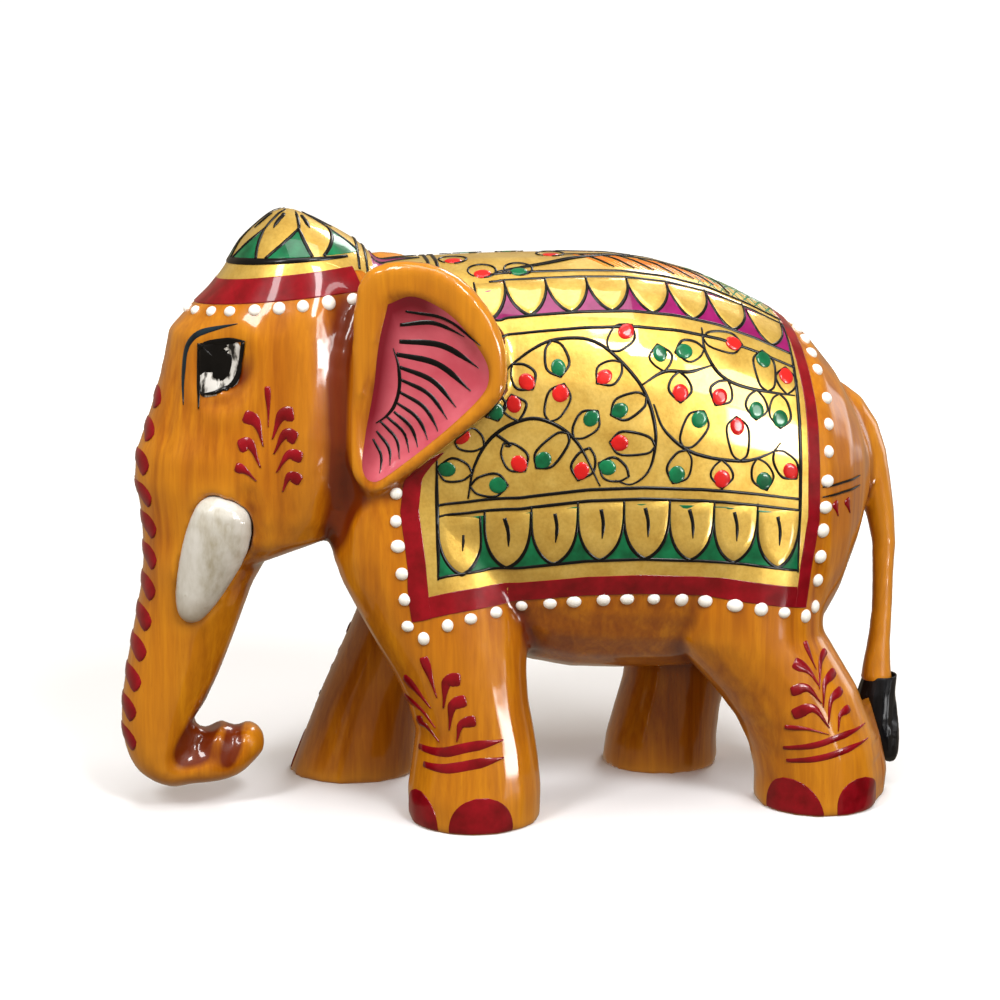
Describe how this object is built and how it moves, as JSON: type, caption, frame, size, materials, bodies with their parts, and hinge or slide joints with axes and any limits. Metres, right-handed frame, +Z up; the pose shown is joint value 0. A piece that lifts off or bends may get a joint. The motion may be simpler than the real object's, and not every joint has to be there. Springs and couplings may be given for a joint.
{
  "type": "elephant figurine",
  "caption": "Walking elephant carved from one block of wood, with let-in tusks, a gold-leaf saddle cloth, painted borders and rows of raised dots.",
  "frame": {"origin": "centre of the bounding box, on the surface that the soles stand on", "axes": "+Z up, the head looks along -Y, the elephant's left side is +X"},
  "size_m": [0.0652, 0.1573, 0.1183],
  "materials": {
    "lacquered_wood": "honey lacquer over straight grain, high gloss",
    "cream_paint": "cream gloss paint over carved wood",
    "eye_paint": "black and white gloss paint under lacquer",
    "pink_lacquer": "gloss",
    "gold_leaf": "gold leaf under clear lacquer",
    "crimson_lacquer": "gloss",
    "white_relief": "raised relief paint, gloss",
    "black_lacquer": "gloss",
    "green_lacquer": "gloss",
    "magenta_lacquer": "gloss",
    "red_lacquer": "gloss"
  },
  "bodies": {
    "root": {"carved_body": "lacquered_wood", "tusk_left": "cream_paint", "tusk_right": "cream_paint", "eye_left": "eye_paint", "eye_right": "eye_paint", "ear_lining_left": "pink_lacquer", "ear_lining_right": "pink_lacquer", "saddle_gold": "gold_leaf", "saddle_border": "crimson_lacquer", "saddle_dots_left": "white_relief", "saddle_dots_right": "white_relief", "saddle_dots_rear": "white_relief", "head_cap": "gold_leaf", "head_band": "crimson_lacquer", "head_dots": "white_relief", "nape_strip": "gold_leaf", "toenails_front_left": "crimson_lacquer", "toenails_front_right": "crimson_lacquer", "toenails_hind_left": "crimson_lacquer", "toenails_hind_right": "crimson_lacquer", "tail_tuft": "black_lacquer"}
  },
  "joints": []
}
